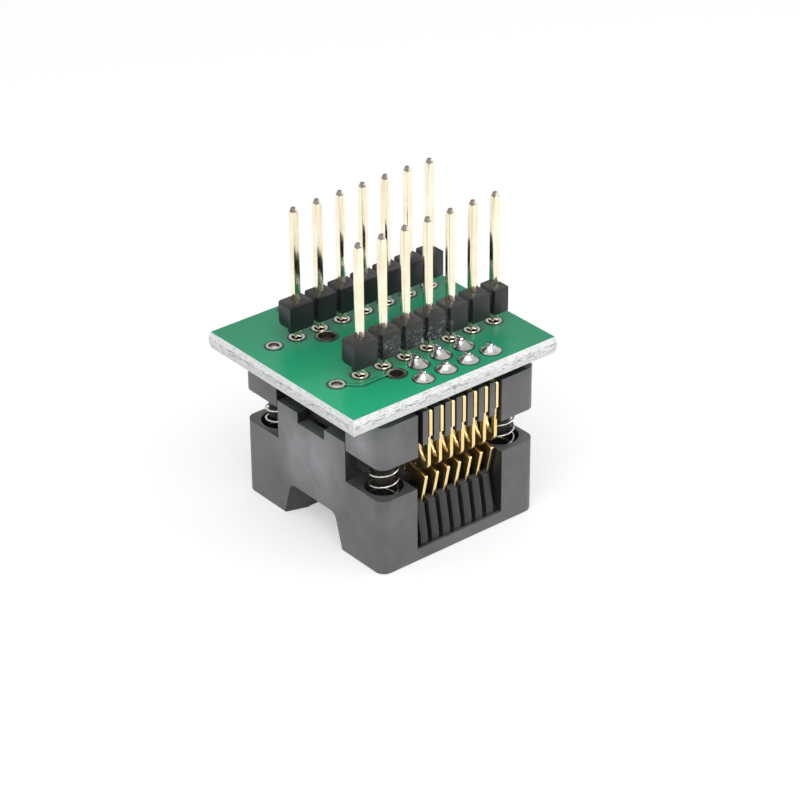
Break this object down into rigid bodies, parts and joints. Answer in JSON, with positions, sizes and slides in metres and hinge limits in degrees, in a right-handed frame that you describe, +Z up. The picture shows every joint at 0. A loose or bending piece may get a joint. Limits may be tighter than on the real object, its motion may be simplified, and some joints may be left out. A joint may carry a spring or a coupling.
{
  "type": "ic programming adapter",
  "caption": "Small circuit board with two rows of square plug pins above and a press-to-open sprung chip socket hanging below it, standing on the socket cover.",
  "frame": {"origin": "on the table, under the middle of the circuit board's plan, with the part standing on its cover's press face", "axes": "+X along the pin rows and the circuit board's longer side, +Y across the rows, +Z up, the way the plug pins point"},
  "size_m": [0.023, 0.0206, 0.0302],
  "materials": {
    "board_lacquer": "green lacquer",
    "tinned_copper": "tinned",
    "solder": "bright solder",
    "header_plastic": "moulded",
    "socket_plastic": "moulded, fine grain",
    "pin_plating": "pale gold flash",
    "contact_plating": "gold",
    "spring_steel": "bright wire"
  },
  "bodies": {
    "base": {"circuit_board": "board_lacquer", "plated_holes": "tinned_copper", "tail_solder": "solder", "pin_solder": "solder", "header_strip_near": "header_plastic", "header_strip_far": "header_plastic", "socket_base": "socket_plastic", "header_pin_near_1": "pin_plating", "header_pin_near_2": "pin_plating", "header_pin_near_3": "pin_plating", "header_pin_near_4": "pin_plating", "header_pin_near_5": "pin_plating", "header_pin_near_6": "pin_plating", "header_pin_near_7": "pin_plating", "header_pin_far_1": "pin_plating", "header_pin_far_2": "pin_plating", "header_pin_far_3": "pin_plating", "header_pin_far_4": "pin_plating", "header_pin_far_5": "pin_plating", "header_pin_far_6": "pin_plating", "header_pin_far_7": "pin_plating", "contact_near_1": "contact_plating", "contact_near_2": "contact_plating", "contact_near_3": "contact_plating", "contact_near_4": "contact_plating", "contact_near_5": "contact_plating", "contact_near_6": "contact_plating", "contact_near_7": "contact_plating", "contact_far_1": "contact_plating", "contact_far_2": "contact_plating", "contact_far_3": "contact_plating", "contact_far_4": "contact_plating", "contact_far_5": "contact_plating", "contact_far_6": "contact_plating", "contact_far_7": "contact_plating"},
    "cover": {"socket_cover": "socket_plastic", "coil_spring_1": "spring_steel", "coil_spring_2": "spring_steel", "coil_spring_3": "spring_steel", "coil_spring_4": "spring_steel"}
  },
  "joints": [
    {"name": "cover_press", "type": "slide", "parent": "base", "child": "cover", "axis": [0, 0, 1], "range_m": [0, 0.0028], "stiffness_N_per_m": 1500, "springref_m": -0.002, "deforming": ["coil_spring_1", "coil_spring_2", "coil_spring_3", "coil_spring_4", "contact_near_1", "contact_near_2", "contact_near_3", "contact_near_4", "contact_near_5", "contact_near_6", "contact_near_7", "contact_far_1", "contact_far_2", "contact_far_3", "contact_far_4", "contact_far_5", "contact_far_6", "contact_far_7"]}
  ]
}
